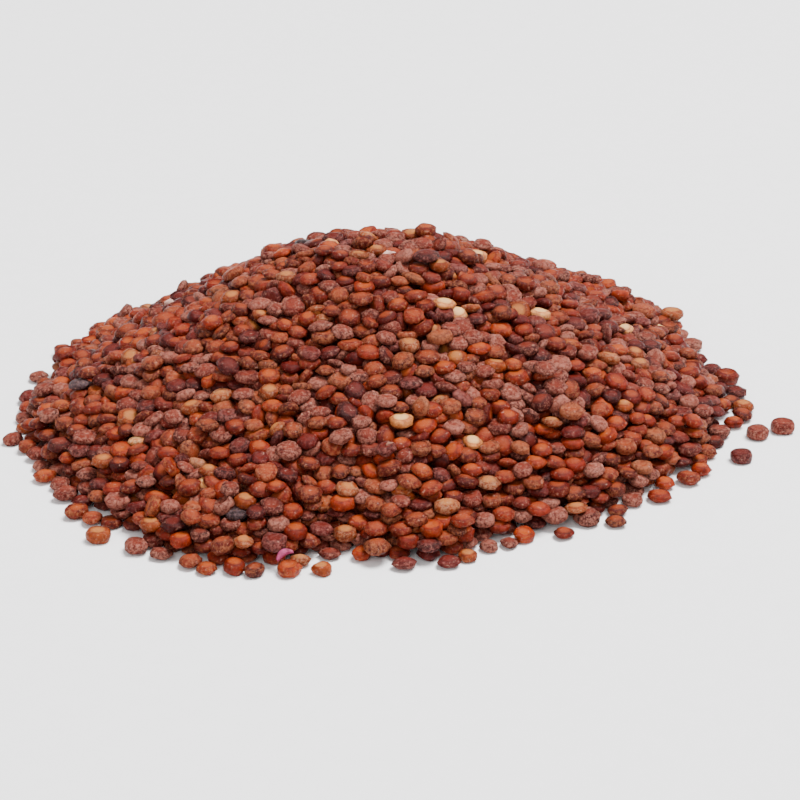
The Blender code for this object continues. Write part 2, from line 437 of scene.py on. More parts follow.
def rubbed_red_hull():
    """Clean dry hull, rubbed by its neighbours: deep red-brown to russet with a soft gleam."""
    return seed_hull(
        "quinoa_hull_rubbed_red",
        ("#420A05", "#541107", "#661A08", "#78230B"),
        face="#8A3A1B",
        dust="#A4603F",
        dust_cover=0.6,
        roughness=0.40,
        dust_roughness=0.62,
    )


def rubbed_amber_hull():
    """Clean thin hull over pale starch: amber to orange-brown, a little clear at the face, which
    painted light also pales.
    """
    return seed_hull(
        "quinoa_hull_rubbed_amber",
        ("#641A06", "#742207", "#822A09", "#8E340D"),
        face="#9C461A",
        dust="#B06E42",
        dust_cover=0.5,
        roughness=0.38,
        dust_roughness=0.6,
    )


def faded_tan_hull():
    """Hull faded to tan over pale starch, with a brown band."""
    return seed_hull(
        "quinoa_hull_faded_tan",
        ("#70320E", "#7E3C14", "#8C461A"),
        face="#AC6C38",
        dust="#B08060",
        dust_cover=0.6,
        roughness=0.45,
        dust_roughness=0.68,
    )


def dusty_mauve_hull():
    """Hull still coated with dried saponin: mauve-brown patches over dark red, quite matte."""
    return seed_hull(
        "quinoa_hull_dusty_mauve",
        ("#3A0A07", "#4A110A", "#58180E", "#662014"),
        face="#70291A",
        dust="#A06454",
        dust_cover=0.75,
        roughness=0.48,
        dust_roughness=0.75,
    )


def ripe_maroon_hull():
    """Dark over-ripe hull: maroon to plum, with the strongest gleam."""
    return seed_hull(
        "quinoa_hull_ripe_maroon",
        ("#300605", "#3E0906", "#4A0D09", "#56120D"),
        face="#5A180F",
        dust="#8C5048",
        dust_cover=0.7,
        roughness=0.36,
        dust_roughness=0.65,
    )


def black_hull():
    """A stray black seed of the crop: brown-black and dusty."""
    return seed_hull(
        "quinoa_hull_black",
        ("#190E0E", "#201214", "#281719"),
        face="#2A1818",
        dust="#685254",
        dust_cover=0.6,
        roughness=0.42,
        dust_roughness=0.75,
    )


def ivory_hull():
    """A stray white seed of the crop: ivory starch under a colourless hull."""
    return seed_hull(
        "quinoa_hull_ivory",
        ("#BC8448", "#C89456", "#D4A468"),
        face="#DCAE76",
        dust="#DCB68C",
        dust_cover=0.6,
        roughness=0.45,
        dust_roughness=0.6,
    )


def packed_seed_core():
    """The seeds deep in the heap, which show only in the gaps: rust to dark brown, fully matte, with
    painted shade darkening each seed towards its edge.
    """
    material, tree, shader = new_material("packed_quinoa_in_shade")
    coords = add_node(tree, "ShaderNodeTexCoord").outputs["Object"]
    # One patch for each seed, 2.2 mm apart, rust in its middle and dark brown at its edge: painted
    # shade between the packed seeds
    cells = add_node(
        tree,
        "ShaderNodeTexVoronoi",
        {"Vector": coords},
        {"Scale": 1 / CORE_BUMP_PITCH},
    )
    ramp = add_node(
        tree,
        "ShaderNodeValToRGB",
        {"Fac": cells.outputs["Distance"]},
        stops=[(0.1, linear("#A43A1A")), (0.7, linear("#6A200E"))],
    )
    tree.links.new(ramp.outputs["Color"], shader.inputs["Base Color"])
    shader.inputs["Roughness"].default_value = 0.9
    return material


def papery_husk(name, tones):
    """Dry papery husk: matte and streaked."""
    material, tree, shader = new_material(name)
    place = add_node(tree, "ShaderNodeAttribute", attribute_name="hull_place_mm").outputs["Vector"]
    streaks = add_node(
        tree,
        "ShaderNodeTexNoise",
        {"Vector": place},
        {"Scale": 2.2, "Detail": 4.0, "Roughness": 0.7},
    ).outputs["Fac"]
    ramp = add_node(
        tree,
        "ShaderNodeValToRGB",
        {"Fac": streaks},
        stops=[(0.35, linear(tones[0])), (0.65, linear(tones[1]))],
    )
    tree.links.new(ramp.outputs["Color"], shader.inputs["Base Color"])
    shader.inputs["Roughness"].default_value = 0.75
    return material


def matte_card(name):
    """White studio card: even and fully matte."""
    material, tree, shader = new_material(name)
    coords = add_node(tree, "ShaderNodeTexCoord").outputs["Object"]
    # Paper fibre, 2 mm apart
    fibre = add_node(tree, "ShaderNodeTexNoise", {"Vector": coords}, {"Scale": 500.0}).outputs["Fac"]
    ramp = add_node(
        tree,
        "ShaderNodeValToRGB",
        {"Fac": fibre},
        stops=[(0.0, linear("#F6F5F6")), (1.0, linear("#FBFAFB"))],
    )
    tree.links.new(ramp.outputs["Color"], shader.inputs["Base Color"])
    shader.inputs["Roughness"].default_value = 0.9
    shader.inputs["Specular IOR Level"].default_value = 0.1
    return material


# Forms of a seed

# Half sections from the middle of the top to the middle of the bottom
SECTIONS = {
    "plump": ((0.0, 1.0), (0.52, 0.90), (0.88, 0.54), (1.0, -0.08), (0.70, -0.78), (0.0, -1.0)),
    "lens": ((0.0, 1.0), (0.44, 0.86), (0.80, 0.50), (1.0, 0.02), (0.74, -0.60), (0.0, -1.0)),
    "drum": ((0.0, 0.86), (0.64, 0.92), (0.93, 0.58), (0.99, -0.30), (0.70, -0.90), (0.0, -0.88)),
    "dished": ((0.0, 0.52), (0.42, 0.60), (0.72, 0.98), (1.0, 0.34), (0.86, -0.66), (0.0, -0.92)),
    "buttoned": (
        (0.0, 0.96), (0.40, 0.86), (0.58, 0.64), (0.84, 0.74),
        (1.0, 0.04), (0.74, -0.80), (0.0, -0.94),
    ),
    "shrunken": ((0.0, 0.62), (0.44, 0.80), (0.84, 0.76), (1.0, -0.04), (0.76, -0.74), (0.0, -0.68)),
    "tablet": (
        (0.0, 0.92), (0.34, 0.93), (0.58, 0.97), (0.70, 0.90), (0.80, 0.93), (0.90, 0.78),
        (0.98, 0.44), (1.0, 0.0), (0.97, -0.44), (0.86, -0.84), (0.66, -0.98), (0.0, -1.0),
    ),
}
WRINKLING = {
    "plump": 0.08,
    "lens": 0.08,
    "drum": 0.08,
    "dished": 0.10,
    "buttoned": 0.10,
    "shrunken": 0.15,
    "tablet": 0.05,
}
VARIANTS = 4
LUMPS_PER_RADIUS = 1.3
# Far enough apart in the noise for each variant and axis to have lumps of its own
VARIANT_STEP = 7.3
AXIS_STEP = 31.7
# The beak and the notch beside it, with bearings in radians
BEAK = 0.08
NOTCH = 0.06
NOTCH_BEARING = 0.8
BEAK_SPREAD = 0.34
TILE_REACH = 0.46


@dataclass
class Form:
    """A seed's mesh at radius one and half thickness one, with its place in a texture tile."""

    points: np.ndarray
    faces: list
    tile: list


def seed_form(kind, variant, sides, beak=BEAK):
    """A seed of the kind, uneven in its own way, with the beak where the root tip lies."""
    bm = bmesh.new()
    line = [bm.verts.new((r, 0, z)) for r, z in SECTIONS[kind]]
    edges = [bm.edges.new(pair) for pair in zip(line, line[1:])]
    bmesh.ops.spin(
        bm,
        geom=line + edges,
        axis=(0, 0, 1),
        cent=(0, 0, 0),
        angle=math.tau,
        steps=sides,
        use_merge=True,
    )
    bmesh.ops.remove_doubles(bm, verts=bm.verts, dist=1e-4)
    bmesh.ops.recalc_face_normals(bm, faces=bm.faces)
    tile = [[tile_corner(vertex, face) for vertex in face.verts] for face in bm.faces]
    amount = WRINKLING[kind]
    for vertex in bm.verts:
        away = vertex.co.xy.length
        bearing = math.atan2(vertex.co.y, vertex.co.x)
        seat = vertex.co * LUMPS_PER_RADIUS + Vector((0, 0, VARIANT_STEP * variant))
        lumps = [noise.noise(seat + Vector((AXIS_STEP * n, 0, 0))) for n in range(3)]
        push = Vector(lumps) * amount * 2
        point = beak * math.exp(-((bearing / BEAK_SPREAD) ** 2)) * away**3
        notch = NOTCH * math.exp(-(((bearing - NOTCH_BEARING) / BEAK_SPREAD) ** 2)) * away**3
        vertex.co.xy *= 1 + point - notch
        vertex.co += push * (0.4 + 0.6 * away)
    points = np.array([vertex.co[:] for vertex in bm.verts])
    faces = [[vertex.index for vertex in face.verts] for face in bm.faces]
    bm.free()
    return Form(points, faces, tile)


def tile_corner(vertex, face):
    """Where a corner of a seed's face falls in its tile: the top's middle is the tile's middle."""
    down = math.atan2(vertex.co.xy.length, vertex.co.z) / math.pi
    seen = vertex.co if vertex.co.xy.length > 1e-6 else face.calc_center_median()
    bearing = math.atan2(seen.y, seen.x)
    away = TILE_REACH * down
    return 0.5 + away * math.cos(bearing), 0.5 + away * math.sin(bearing)


# The heap's own form, read from the frame


class Maps:
    """Height maps over the footprint: the heap's skin, where seeds may lie, and what lies there."""

    def __init__(self):
        low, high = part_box("quinoa_heap")
        self.low = np.array(low[:2]) - MAP_MARGIN
        span = np.array(high[:2]) + MAP_MARGIN - self.low
        coarse = np.ceil(span / CAD_SAMPLE).astype(int) + 1
        heights, inside = self.sample_cad(coarse)
        reach = SKIN_BLUR / CAD_SAMPLE
        weight = blurred(inside.astype(float), reach)
        skin = blurred(heights * inside, reach) / np.maximum(weight, 1e-3) + SKIN_RISE
        depth = depth_inside(inside)
        shelf = ONE_LAYER + FOOT_STEEPNESS * np.maximum(depth - FOOT_SHELF, 0)
        cells = np.ceil(span / MAP_CELL).astype(int)
        self.skin = stretched(np.clip(skin, ONE_LAYER, shelf), cells)
        self.depth = stretched(depth, cells)
        self.allowed = self.depth > RIM_INSET
        for node in LONE_SEEDS:
            self.keep_clear_of(node)
        slope_x, slope_y = np.gradient(blurred(self.skin, SLOPE_BLUR / MAP_CELL), MAP_CELL)
        self.slope = np.stack([slope_x, slope_y], axis=-1)
        self.top = np.zeros(cells)
        self.given_up = np.zeros(cells, dtype=bool)

    def sample_cad(self, counts):
        """The CAD heap's height and extent, by rays straight down."""
        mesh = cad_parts["quinoa_heap"].data
        tree = BVHTree.FromPolygons(
            [vertex.co[:] for vertex in mesh.vertices],
            [polygon.vertices[:] for polygon in mesh.polygons],
        )
        heights = np.zeros(counts)
        for i in range(counts[0]):
            for j in range(counts[1]):
                x, y = self.low + (i * CAD_SAMPLE, j * CAD_SAMPLE)
                hit = tree.ray_cast(Vector((x, y, 1)), Vector((0, 0, -1)))[0]
                heights[i, j] = hit.z if hit else 0.0
        return heights, heights > LEAST_CAD_HEIGHT

    def keep_clear_of(self, node):
        """Keeps the heap's seeds off a seed that lies apart."""
        low, high = (np.array(corner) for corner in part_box(node))
        middle = ((low + high) / 2)[:2]
        x, y = (self.low[n] + (np.arange(self.depth.shape[n]) + 0.5) * MAP_CELL for n in (0, 1))
        away = np.hypot(x[:, None] - middle[0], y[None, :] - middle[1])
        self.allowed &= away > LONE_SEED_CLEARANCE

    def cell_of(self, x, y):
        """The cell at a place."""
        i, j = ((np.array((x, y)) - self.low) / MAP_CELL).astype(int)
        return min(max(i, 0), self.top.shape[0] - 1), min(max(j, 0), self.top.shape[1] - 1)

    def place_of(self, cell):
        """The middle of a cell."""
        return self.low + (np.array(cell) + 0.5) * MAP_CELL

    def give_up(self, cell):
        """Marks the cells round one as a gap that no seed fits."""
        i, j = (slice(n - GIVEN_UP_CELLS, n + GIVEN_UP_CELLS + 1) for n in cell)
        self.given_up[i, j] = True


def blurred(values, reach):
    """The map smoothed by a bell of that many cells, along one axis and then the other."""
    steps = np.arange(-int(3 * reach), int(3 * reach) + 1)
    bell = np.exp(-((steps / reach) ** 2) / 2)
    bell /= bell.sum()
    for axis in (0, 1):
        values = np.apply_along_axis(lambda row: np.convolve(row, bell, mode="same"), axis, values)
    return values


def stretched(values, counts):
    """The coarse map read at finer cells, straight between its samples."""
    for axis in (0, 1):
        share = (np.arange(counts[axis]) + 0.5) * MAP_CELL / CAD_SAMPLE
        low = np.minimum(share.astype(int), values.shape[axis] - 2)
        part = np.clip(share - low, 0, 1)
        part = part[:, None] if axis == 0 else part[None, :]
        values = np.take(values, low, axis) * (1 - part) + np.take(values, low + 1, axis) * part
    return values


def depth_inside(inside):
    """How far each cell of the CAD samples lies inside the outline, or nothing outside it."""
    hidden = inside.copy()
    for axis in (0, 1):
        hidden &= np.roll(inside, 1, axis) & np.roll(inside, -1, axis)
    edge = np.argwhere(inside & ~hidden)
    depth = np.zeros(inside.shape)
    for row in range(inside.shape[0]):
        across = np.arange(inside.shape[1])[:, None] - edge[:, 1]
        depth[row] = np.sqrt(((row - edge[:, 0]) ** 2 + across**2).min(axis=1)) + 0.5
    return depth * inside * CAD_SAMPLE


# Dropping the seeds


@dataclass
class Seed:
    """One seed: where it lies, how it is turned, its half sizes, its form and its coat."""

    middle: np.ndarray
    turn: np.ndarray
    half: np.ndarray
    form: str = "plump"
    kind: str = "red"
    tone: float = 0.5
    dustiness: float = 0.3


def drawn_half_sizes(draw):
    """Half of a seed's length, width and thickness."""
    least, most = SEED_DIAMETER_LIMITS
    length = min(max(draw.gauss(SEED_DIAMETER, SEED_DIAMETER_SPREAD), least), most)
    width = length * draw.uniform(*SEED_WIDTH_SHARE)
    return np.array((length, width, length * draw.uniform(*SEED_THICKNESS_SHARE))) / 2


def drawn_tilt(on_floor, draw):
    """How far a seed is tipped, in degrees: hardly on the floor, a little elsewhere, some a lot."""
    if on_floor:
        return abs(draw.gauss(0, FLOOR_TILT))
    if draw.random() < FREE_TILT_SHARE:
        return draw.uniform(*FREE_TILT)
    return abs(draw.gauss(0, SEED_TILT))


def drawn_turn(slope, on_floor, tilt, draw):
    """A seed's turn: along the slope, or level on the floor, and tipped to any side."""
    followed = 0 if on_floor else SLOPE_FOLLOWED
    normal = Vector((-slope[0] * followed, -slope[1] * followed, 1)).normalized()
    lean = Vector((0, 0, 1)).rotation_difference(normal).to_matrix()
    tip = Matrix.Rotation(math.radians(tilt), 3, random_level_axis(draw))
    spin = Matrix.Rotation(draw.uniform(0, math.tau), 3, "Z")
    return np.array(lean @ tip @ spin)


def random_level_axis(draw):
    """A level direction."""
    bearing = draw.uniform(0, math.tau)
    return Vector((math.cos(bearing), math.sin(bearing), 0))


def underside_and_top(turn, half):
    """The cells that a seed covers from above, and its lower and upper surface over them."""
    reach = int(half.max() / MAP_CELL) + 1
    steps = np.arange(-reach, reach + 1) * MAP_CELL
    u, v = np.meshgrid(steps, steps, indexing="ij")
    shape = turn @ np.diag(1 / half**2) @ turn.T
    across = shape[0, 2] * u + shape[1, 2] * v
    flat = shape[0, 0] * u**2 + 2 * shape[0, 1] * u * v + shape[1, 1] * v**2 - 1
    under_root = across**2 - shape[2, 2] * flat
    covered = under_root > 0
    root = np.sqrt(np.maximum(under_root, 0))
    return reach, covered, (-across - root) / shape[2, 2], (-across + root) / shape[2, 2]


def resting_height(maps, cell, stamp):
    """How high a seed's middle lies when it is let down on what is there."""
    reach, covered, low, _ = stamp
    i, j = cell
    patch = maps.top[i - reach:i + reach + 1, j - reach:j + reach + 1]
    return (patch[covered] - low[covered]).max()


def highest_under(values, cell, stamp):
    """The highest of the map's values under a seed."""
    reach, covered = stamp[:2]
    i, j = cell
    return values[i - reach:i + reach + 1, j - reach:j + reach + 1][covered].max()


def lay_down(maps, cell, stamp, height):
    """Adds a seed to the map of what lies there."""
    reach, covered, _, high = stamp
    i, j = cell
    patch = maps.top[i - reach:i + reach + 1, j - reach:j + reach + 1]
    patch[covered] = np.maximum(patch[covered], height + high[covered])


def deepest_place(maps, candidates, draw):
    """Of some cells drawn at random, the one that lies deepest under the heap's skin."""
    picks = candidates[[draw.randrange(len(candidates)) for _ in range(PLACES_TRIED)]]
    rows, columns = picks.T
    hollows = (maps.skin - maps.top)[rows, columns]
    hollows[maps.given_up[rows, columns]] = 0
    best = hollows.argmax()
    return picks[best], hollows[best]


def dropped_seeds(maps, draw):
    """Seeds laid one at a time up to the skin, first round the foot, and some loose on top."""
    seeds = []
    filled_up(maps, np.argwhere(maps.allowed & (maps.depth < FOOT_ROW)), seeds, draw)
    candidates = np.argwhere(maps.allowed)
    filled_up(maps, candidates, seeds, draw)
    for _ in range(LOOSE_ON_TOP):
        spot = candidates[draw.randrange(len(candidates))]
        seed = seed_laid(maps, spot, CONTACT_SHARE, LOOSE_PROUD, draw)
        if seed:
            seeds.append(seed)
    return seeds


def filled_up(maps, candidates, seeds, draw):
    """Lays seeds in the hollows of some cells, the deepest first, until none is left."""
    misses = 0
    while misses < MOST_MISSES:
        spot, hollow = deepest_place(maps, candidates, draw)
        if hollow < LEAST_HOLLOW:
            misses += 1
            continue
        misses = 0
        buried = hollow > BURIED_HOLLOW and maps.depth[tuple(spot)] > BURIED_FROM_OUTLINE
        contact = BURIED_CONTACT_SHARE if buried else CONTACT_SHARE
        seed = seed_laid(maps, spot, contact, MOST_PROUD, draw)
        if seed:
            seeds.append(seed)
        else:
            maps.give_up(spot)


def seed_laid(maps, spot, contact, most_proud, draw):
    """A seed in its best lie near a spot, added to the map, or None if there is none.

    Seeds touch at the contact share of their sizes, because their forms are blunter than the
    ellipsoids that stand for them, and buried seeds may run into each other.
    """
    half = drawn_half_sizes(draw)
    best = best_lie(maps, spot, half, contact, most_proud, draw)
    if best is None:
        return None
    _, cell, turn, stamp, height = best
    lay_down(maps, cell, stamp, height)
    return Seed(np.array((*maps.place_of(cell), height)), turn, half)


def best_lie(maps, spot, half, contact, most_proud, draw):
    """The lowest lie near a spot, or None if even that stands too proud of the skin."""
    best = None
    most = int(LARGEST_SHIFT / MAP_CELL)
    on_floor = maps.top[tuple(spot)] == 0
    tilt = drawn_tilt(on_floor, draw)
    for _ in range(TURNS_TRIED):
        turn = drawn_turn(maps.slope[tuple(spot)], on_floor, tilt, draw)
        stamp = underside_and_top(turn, half * contact)
        half_height = math.sqrt((turn[2] ** 2 * half**2).sum())
        for _ in range(FLOOR_SHIFTS_TRIED if on_floor else SHIFTS_TRIED):
            cell = (spot[0] + draw.randint(-most, most), spot[1] + draw.randint(-most, most))
            if not maps.allowed[cell]:
                continue
            height = max(resting_height(maps, cell, stamp), half_height)
            if height > half_height * ON_FLOOR_SLACK and maps.depth[cell] < UPPER_INSET:
                continue
            if height + half_height > highest_under(maps.skin, cell, stamp) + most_proud:
                continue
            sunk = height - maps.skin[cell]
            if on_floor:
                sunk += OUTWARD_PULL * maps.depth[cell]
            if best is None or sunk < best[0]:
                best = (sunk, cell, turn, stamp, height)
    return best


# The camera, and what it sees at a pixel


def camera_turn():
    """The camera's own axes: right, up and backwards."""
    tilt = math.radians(CAMERA_ELEVATION)
    right = Vector((1, 0, 0))
    up = Vector((0, math.sin(tilt), math.cos(tilt)))
    back = Vector((0, -math.cos(tilt), math.sin(tilt)))
    return right, up, back


def pixel_ray(pixel):
    """Where the view starts, and the direction in which it meets a pixel of the photograph."""
    right, up, back = camera_turn()
    eye = CAMERA_TARGET + back * CAMERA_DISTANCE
    across = (pixel[0] - IMAGE_SIZE / 2) / FOCAL_LENGTH_PIXELS
    above = (IMAGE_SIZE / 2 - pixel[1]) / FOCAL_LENGTH_PIXELS
    return eye, (right * across + up * above - back).normalized()


def seed_at_pixel(seeds, pixel):
    """The seed nearest the camera among those that the view through a pixel meets."""
    eye, aim = (np.array(v) for v in pixel_ray(pixel))
    middles = np.array([seed.middle for seed in seeds]) - eye
    depth = middles @ aim
    aside = np.linalg.norm(middles - depth[:, None] * aim, axis=1)
    missed = 1 + aside
    return int(np.where(aside < SEED_IN_VIEW, depth, missed).argmin())


def before_seeds(maps, pixel):
    """A place in the view through a pixel, a little before it meets the seeds."""
    eye, aim = (np.array(v) for v in pixel_ray(pixel))
    for along in np.arange(VIEW_START, VIEW_END, VIEW_STEP):
        place = eye + aim * along
        if place[2] <= maps.top[maps.cell_of(place[0], place[1])]:
            return place - aim * HUSK_CLEARANCE
    raise ValueError(f"no seed at pixel {pixel}")


# Sorting the seeds into kinds

KIND_SHARES = {"red": 0.44, "amber": 0.11, "tan": 0.04, "mauve": 0.29, "maroon": 0.12}
FORM_SHARES = {
    "red": {"plump": 3, "lens": 6, "drum": 4, "dished": 2, "buttoned": 2, "shrunken": 1},
    "amber": {"plump": 3, "lens": 4, "drum": 5, "dished": 2, "buttoned": 1},
    "tan": {"lens": 1, "drum": 2, "buttoned": 1},
    "mauve": {"plump": 2, "lens": 5, "drum": 3, "dished": 2, "buttoned": 2, "shrunken": 2},
    "maroon": {"plump": 3, "lens": 4, "drum": 3, "dished": 1, "buttoned": 1, "shrunken": 2},
    "black": {"plump": 1},
    "ivory": {"lens": 2, "drum": 1},
}
DUSTINESS = {
    "red": 0.37,
    "amber": 0.33,
    "tan": 0.35,
    "mauve": 0.42,
    "maroon": 0.36,
    "black": 0.4,
    "ivory": 0.3,
}
DUSTINESS_SPREAD = 0.04
MOST_DUSTINESS = 0.48


def sort_into_kinds(seeds, draw):
    """Gives each seed its kind, form, tone and dust."""
    kinds = list(KIND_SHARES)
    shares = list(KIND_SHARES.values())
    for seed in seeds:
        seed.kind = draw.choices(kinds, shares)[0]
    own_coloured = {"ivory": IVORY_PIXELS, "black": BLACK_PIXELS, "tan": TAN_PIXELS}
    for kind, pixels in own_coloured.items():
        for pixel in pixels:
            seeds[seed_at_pixel(seeds, pixel)].kind = kind
    for seed in seeds:
        forms = FORM_SHARES[seed.kind]
        seed.form = draw.choices(list(forms), list(forms.values()))[0]
        seed.tone = draw.random()
        dustiness = DUSTINESS[seed.kind] + draw.gauss(0, DUSTINESS_SPREAD)
        seed.dustiness = min(dustiness, MOST_DUSTINESS)


# Meshes of many seeds

# How far apart the seeds' places in the hulls' noise may be, in millimetres to each side
HULL_PLACE_SPREAD = 400


def joined_seeds(name, seeds, forms, material, draw):
    """One mesh of all the seeds of a kind, with a tile of the texture for each."""
    tiles = math.ceil(math.sqrt(len(seeds)))
    points, faces, corners = [], [], []
    on_seed, hull_place, tones, dustiness = [], [], [], []
    start = 0
    for number, seed in enumerate(seeds):
        form = forms[seed.form][draw.randrange(VARIANTS)]
        count = len(form.points)
        points.append((form.points * seed.half) @ seed.turn.T + seed.middle)
        faces.extend([corner + start for corner in face] for face in form.faces)
        column, row = number % tiles, number // tiles
        places = (place for face in form.tile for place in face)
        corners.extend(((column + u) / tiles, (row + v) / tiles) for u, v in places)
        on_seed.append(form.points)
        shift = [draw.uniform(-HULL_PLACE_SPREAD, HULL_PLACE_SPREAD) for _ in range(3)]
        hull_place.append(form.points * seed.half / MM + shift)
        tones.append(np.full(count, seed.tone))
        dustiness.append(np.full(count, seed.dustiness))
        start += count
    mesh = bpy.data.meshes.new(name)
    mesh.from_pydata(np.concatenate(points).tolist(), [], faces)
    fill_attribute(mesh, "on_seed", "FLOAT_VECTOR", "vector", np.concatenate(on_seed))
    fill_attribute(mesh, "hull_place_mm", "FLOAT_VECTOR", "vector", np.concatenate(hull_place))
    fill_attribute(mesh, "tone", "FLOAT", "value", np.concatenate(tones))
    fill_attribute(mesh, "dustiness", "FLOAT", "value", np.concatenate(dustiness))
    tile_map = mesh.uv_layers.new(name="OFBake")
    tile_map.data.foreach_set("uv", np.array(corners).ravel())
    mesh.shade_smooth()
    mesh.materials.append(material)
    return in_scene(name, mesh)


def fill_attribute(mesh, name, kind, part, values):
    """Stores one value for each point of a mesh."""
    attribute = mesh.attributes.new(name, kind, "POINT")
    attribute.data.foreach_set(part, np.asarray(values, dtype=np.float32).ravel())


def mesh_of(bm, name, material):
    """A smooth-shaded mesh of what was built."""
    mesh = bpy.data.meshes.new(name)
    bm.to_mesh(mesh)
    bm.free()
    mesh.shade_smooth()
    mesh.materials.append(material)
    return mesh


def in_scene(name, data):
    """An object of some data, put in the scene."""
    obj = bpy.data.objects.new(name, data)
    bpy.context.scene.collection.objects.link(obj)
    return obj


def as_piece(obj, nodes):
    """Makes an object a piece of the part that stands for these nodes."""
    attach(obj, "root")
    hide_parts(*nodes)


def build_core(maps):
    """The heap's own core: its form let in by the depth of the loose seeds, with seed-size bumps."""
    bm = core_disc()
    outside = []
    for vertex in bm.verts:
        vertex.co.z = core_height(maps, vertex.co.x, vertex.co.y)
        if vertex.co.z <= LEAST_CORE_HEIGHT:
            outside.append(vertex)
    bmesh.ops.delete(bm, geom=outside, context="VERTS")
    rim = [edge for edge in bm.edges if edge.is_boundary]
    wall = bmesh.ops.extrude_edge_only(bm, edges=rim)["geom"]
    for vertex in (g for g in wall if isinstance(g, bmesh.types.BMVert)):
        vertex.co.z = 0
    bottom = [edge for edge in bm.edges if edge.is_boundary]
    bmesh.ops.holes_fill(bm, edges=bottom, sides=0)
    bmesh.ops.recalc_face_normals(bm, faces=bm.faces)
    core = in_scene("packed_core", mesh_of(bm, "packed_core", packed_seed_core()))
    as_piece(core, ["quinoa_heap"])


def core_disc():
    """A flat disc in rings and spokes, a little wider than the heap."""
    low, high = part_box("quinoa_heap")
    middle = (Vector(low) + Vector(high)) / 2
    reach = max(high[0] - low[0], high[1] - low[1]) / 2 + CORE_MARGIN
    rings = int(reach / CORE_PITCH)
    bm = bmesh.new()
    line = [bm.verts.new((reach * n / rings, 0, 0)) for n in range(rings + 1)]
    edges = [bm.edges.new(pair) for pair in zip(line, line[1:])]
    bmesh.ops.spin(
        bm,
        geom=line + edges,
        axis=(0, 0, 1),
        cent=(0, 0, 0),
        angle=math.tau,
        steps=int(math.tau * reach / CORE_RIM_PITCH),
        use_merge=True,
    )
    bmesh.ops.remove_doubles(bm, verts=bm.verts, dist=0.001 * MM)
    bmesh.ops.translate(bm, vec=(middle.x, middle.y, 0), verts=bm.verts)
    return bm


def core_height(maps, x, y):
    """The height of the core at a place, or nothing near the heap's foot."""
    cell = maps.cell_of(x, y)
    if maps.depth[cell] < CORE_INSET:
        return 0.0
    nearest = noise.voronoi(Vector((x, y, 0)) / CORE_BUMP_PITCH)[0][0]
    bump = CORE_BUMP_RISE * (0.5 - nearest)
    return max(maps.skin[cell] - CORE_DEPTH + bump, 0.0)


def core_map(maps):
    """The core's height at every cell, as the ground on which the seeds fall."""
    cells = np.argwhere(maps.depth >= CORE_INSET)
    for cell in cells:
        x, y = maps.place_of(cell)
        maps.top[tuple(cell)] = core_height(maps, x, y)


def build_heap(maps, forms, materials, draw):
    """The loose seeds over the core, one piece for each kind."""
    seeds = dropped_seeds(maps, draw)
    sort_into_kinds(seeds, draw)
    for kind, material in materials.items():
        chosen = [seed for seed in seeds if seed.kind == kind]
        piece = joined_seeds(f"{kind}_seeds", chosen, forms, material, draw)
        as_piece(piece, ["quinoa_heap"])


@dataclass
class Lone:
    """How a seed that lies apart looks. The beak's bearing is in degrees."""

    kind: str
    tone: float
    dustiness: float
    width: float
    beak: float
    beak_bearing: float


LONE_SEEDS = {
    "stray_seed_right_near": Lone("mauve", 0.7, 0.40, 1.0, 0.06, 60),
    "stray_seed_right_far": Lone("mauve", 0.9, 0.38, 0.98, 0.08, -40),
    "stray_seed_right_front": Lone("maroon", 0.5, 0.37, 0.96, 0.06, 150),
    "stray_seed_left_front": Lone("tan", 0.7, 0.30, 0.90, 0.05, 20),
    "stray_seed_front": Lone("tan", 1.0, 0.28, 0.90, 0.34, 180),
}


def fitted(points, bearing):
    """A form's points turned by a bearing in degrees, then brought to a box of minus to plus one."""
    turned = points @ np.array(Matrix.Rotation(math.radians(bearing), 3, "Z")).T
    low, high = turned.min(axis=0), turned.max(axis=0)
    return (2 * turned - low - high) / (high - low)


def build_lone_seeds(materials, draw):
    """The seeds that lie apart, each in its own node's place."""
    for number, (node, lone) in enumerate(LONE_SEEDS.items()):
        low, high = (np.array(corner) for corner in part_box(node))
        half = (high - low) / 2 * (1, lone.width, 1)
        form = seed_form("tablet", number, STRAY_SIDES, lone.beak)
        form.points = fitted(form.points, lone.beak_bearing)
        middle = (low + high) / 2
        seed = Seed(middle, np.eye(3), half, "tablet", lone.kind, lone.tone, lone.dustiness)
        name = node.replace("stray_seed", "lone_seed")
        forms = {"tablet": [form] * VARIANTS}
        piece = joined_seeds(name, [seed], forms, materials[lone.kind], draw)
        as_piece(piece, [node])


# Husk


@dataclass
class Flake:
    """A scrap of husk: its place and size, and its lean to the front and its spin in degrees."""

    place: np.ndarray
    length: float
    width: float
    lean: float
    spin: float


def husk_flake(bm, flake, seat):
    """A small leaf bent like a gutter, curved, crumpled and tapered to its ends."""
    leaf = bmesh.ops.create_grid(bm, x_segments=8, y_segments=4, size=1)["verts"]
    for vertex in leaf:
        along, across = vertex.co.x, vertex.co.y
        taper = 1 - 0.5 * along**2
        crumple = noise.noise(Vector((along * 1.5, across * 1.5, seat))) * 0.3
        bend = 0.7 * across**2 + 0.3 * along**2
        curve = 0.2 * flake.length * along**2
        vertex.co.x = along * flake.length / 2
        vertex.co.y = across * taper * flake.width / 2 - curve
        vertex.co.z = (crumple - bend) * flake.width / 2
    faces = list({face for vertex in leaf for face in vertex.link_faces})
    thick = bmesh.ops.solidify(bm, geom=faces, thickness=FLAKE_THICKNESS)["geom"]
    whole = {g for g in thick if isinstance(g, bmesh.types.BMVert)} | set(leaf)
    lean = Matrix.Rotation(math.radians(flake.lean), 4, "X")
    spin = Matrix.Rotation(math.radians(flake.spin), 4, "Z")
    seated = Matrix.Translation(Vector(flake.place)) @ lean @ spin
    bmesh.ops.transform(bm, matrix=seated, verts=list(whole))


